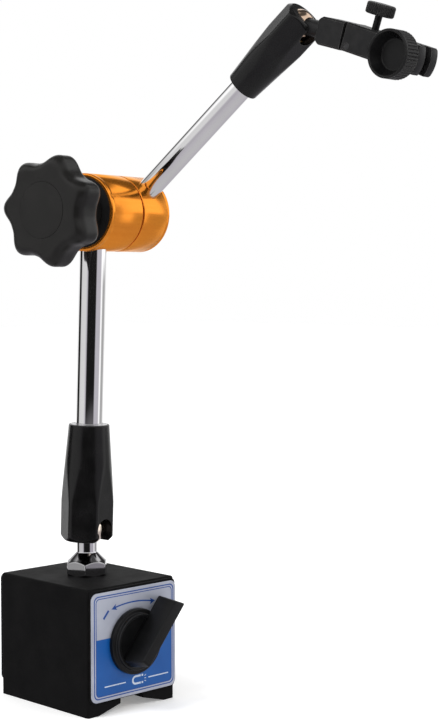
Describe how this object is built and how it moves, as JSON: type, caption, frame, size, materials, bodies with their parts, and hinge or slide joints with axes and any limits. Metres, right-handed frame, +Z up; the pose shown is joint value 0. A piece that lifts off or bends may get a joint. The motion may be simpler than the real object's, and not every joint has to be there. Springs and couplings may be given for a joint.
{
  "type": "dial indicator stand with magnetic base",
  "caption": "Switchable magnetic base with a jointed arm, one central lock knob and a fine-adjust indicator clamp.",
  "frame": {"origin": "middle of the base's footprint, on the surface it stands on", "axes": "+Z up; -Y out of the face with the switch; +X to the right for someone facing the switch"},
  "size_m": [0.0857, 0.1906, 0.3016],
  "materials": {
    "black_paint": "satin black enamel with a fine orange-peel texture",
    "black_paint_seam": "brass strip painted over in the same satin black enamel",
    "cover_black": "black painted sheet",
    "label_blue": "printed aluminium plate, silver above and blue below",
    "screw_steel": "zinc-plated countersunk screws",
    "plain_steel": "ground steel",
    "magnet_grey": "sintered magnet",
    "brass": "machined brass",
    "chrome": "polished chrome plate",
    "black_socket": "satin black oxide over milled flats",
    "orange_anodised": "turned aluminium, orange anodised",
    "friction_black": "matt friction plastic",
    "black_grip": "fine-grained black thermoset",
    "black_plastic": "satin black moulded plastic",
    "black_oxide": "black oxide on milled steel"
  },
  "bodies": {
    "base": {"pole_block_left": "black_paint", "pole_block_right": "black_paint", "seam_strip_top": "black_paint_seam", "seam_strip_bottom": "brass", "stud_bush": "brass", "front_cover": "cover_black", "switch_plate": "label_blue", "rear_cover": "cover_black", "cover_screws": "screw_steel", "stop_pin": "plain_steel", "ball_stud": "chrome"},
    "switch": {"switch_knob": "black_plastic", "rotor_spindle": "plain_steel", "rotor_magnet": "magnet_grey", "rotor_shoe_near": "plain_steel", "rotor_shoe_far": "plain_steel", "rotor_rear_plate": "brass"},
    "lower_ball": {"lower_ball": "chrome"},
    "lower_arm": {"lower_socket": "black_socket", "lower_tube_bush": "plain_steel", "lower_tube": "chrome", "elbow_lower_half": "orange_anodised", "elbow_friction_ring": "friction_black", "knob_thrust_plate": "friction_black"},
    "lower_push": {"lower_push_rod": "plain_steel", "lower_ball_seat": "brass"},
    "draw_bolt": {"draw_bolt": "plain_steel"},
    "star_knob": {"star_knob": "black_grip", "star_knob_insert": "brass", "star_knob_cap": "black_grip"},
    "upper_arm": {"elbow_upper_half": "orange_anodised", "elbow_end_cap": "orange_anodised", "elbow_spring_washer": "plain_steel", "upper_tube": "chrome", "upper_tube_bush": "plain_steel", "upper_socket": "black_socket"},
    "upper_push": {"upper_push_rod": "plain_steel", "upper_ball_seat": "brass"},
    "upper_ball": {"upper_ball": "chrome"},
    "swivel_block": {"clamp_stem": "black_oxide", "swivel_block": "black_oxide"},
    "clamp_bar": {"clamp_bar": "black_oxide", "clamp_pivot_pin": "black_oxide", "fine_return_spring": "plain_steel", "clamp_bolt": "plain_steel"},
    "fine_tip": {"fine_screw_tip": "brass"},
    "fine_screw": {"fine_screw": "black_oxide"},
    "clamp_washer": {"clamp_washer": "plain_steel"},
    "clamp_wheel": {"clamp_wheel": "black_oxide", "clamp_wheel_nut": "brass"}
  },
  "joints": [
    {"name": "switch_turn", "type": "hinge", "parent": "base", "child": "switch", "pos_m": [0, -0.03, 0.03], "axis": [0, -1, 0], "range_deg": [0, 90]},
    {"name": "arm_pan", "type": "hinge", "parent": "base", "child": "lower_ball", "pos_m": [0, 0, 0.076], "axis": [0, 0, 1], "continuous": true},
    {"name": "arm_tilt", "type": "hinge", "parent": "lower_ball", "child": "lower_arm", "pos_m": [0, 0, 0.076], "axis": [0.9848, 0.1736, 0], "range_deg": [-12, 86]},
    {"name": "lower_push_slide", "type": "slide", "parent": "lower_arm", "child": "lower_push", "axis": [-0.0061, 0.0344, -0.9994], "range_m": [-0.0004, 0]},
    {"name": "draw_bolt_slide", "type": "slide", "parent": "lower_arm", "child": "draw_bolt", "axis": [0.9848, 0.1736, 0], "range_m": [0, 0.00125]},
    {"name": "lock_knob_turn", "type": "hinge", "parent": "lower_arm", "child": "star_knob", "pos_m": [0.00085, -0.00481, 0.21591], "axis": [0.9848, 0.1736, 0], "range_deg": [-360.5, 0]},
    {"name": "elbow_turn", "type": "hinge", "parent": "lower_arm", "child": "upper_arm", "pos_m": [0.00085, -0.00481, 0.21591], "axis": [-0.9848, -0.1736, 0], "range_deg": [-82, 178]},
    {"name": "upper_push_slide", "type": "slide", "parent": "upper_arm", "child": "upper_push", "axis": [0.1335, -0.7572, 0.6394], "range_m": [-0.0004, 0]},
    {"name": "head_tilt", "type": "hinge", "parent": "upper_arm", "child": "upper_ball", "pos_m": [0.03932, -0.09171, 0.29265], "axis": [0.9899, 0.0707, -0.1229], "range_deg": [-65, 30]},
    {"name": "head_spin", "type": "hinge", "parent": "upper_ball", "child": "swivel_block", "pos_m": [0.03932, -0.09171, 0.29265], "axis": [0.0333, -0.9585, -0.2833], "continuous": true},
    {"name": "clamp_fine_tilt", "type": "hinge", "parent": "swivel_block", "child": "clamp_bar", "pos_m": [0.04035, -0.12136, 0.28029], "axis": [0.9994, 0.0348, -0.0002], "range_deg": [-3.9, 3.9]},
    {"name": "fine_tip_slide", "type": "slide", "parent": "clamp_bar", "child": "fine_tip", "axis": [0.0121, -0.3411, 0.94], "range_m": [-0.00051, 0.00051]},
    {"name": "fine_screw_turn", "type": "hinge", "parent": "fine_tip", "child": "fine_screw", "pos_m": [0.04059, -0.12822, 0.2778], "axis": [0.0121, -0.3411, 0.94], "range_deg": [-360, 360]},
    {"name": "clamp_washer_slide", "type": "slide", "parent": "clamp_bar", "child": "clamp_washer", "axis": [0.9994, 0.0348, -0.0002], "range_m": [-0.00105, 0]},
    {"name": "clamp_wheel_turn", "type": "hinge", "parent": "clamp_washer", "child": "clamp_wheel", "pos_m": [0.04132, -0.14931, 0.2738], "axis": [0.9994, 0.0348, -0.0002], "range_deg": [-541, 0]}
  ],
  "couplings": [
    {"joint": "lock_knob_turn", "follows": "draw_bolt_slide", "rad_per_m": -5026.5},
    {"joint": "lower_push_slide", "follows": "draw_bolt_slide", "ratio": -0.3125},
    {"joint": "upper_push_slide", "follows": "draw_bolt_slide", "ratio": -0.3125},
    {"joint": "fine_tip_slide", "follows": "clamp_fine_tilt", "m_per_rad": 0.0073},
    {"joint": "fine_screw_turn", "follows": "clamp_fine_tilt", "ratio": 91.735},
    {"joint": "clamp_wheel_turn", "follows": "clamp_washer_slide", "rad_per_m": 8976}
  ]
}
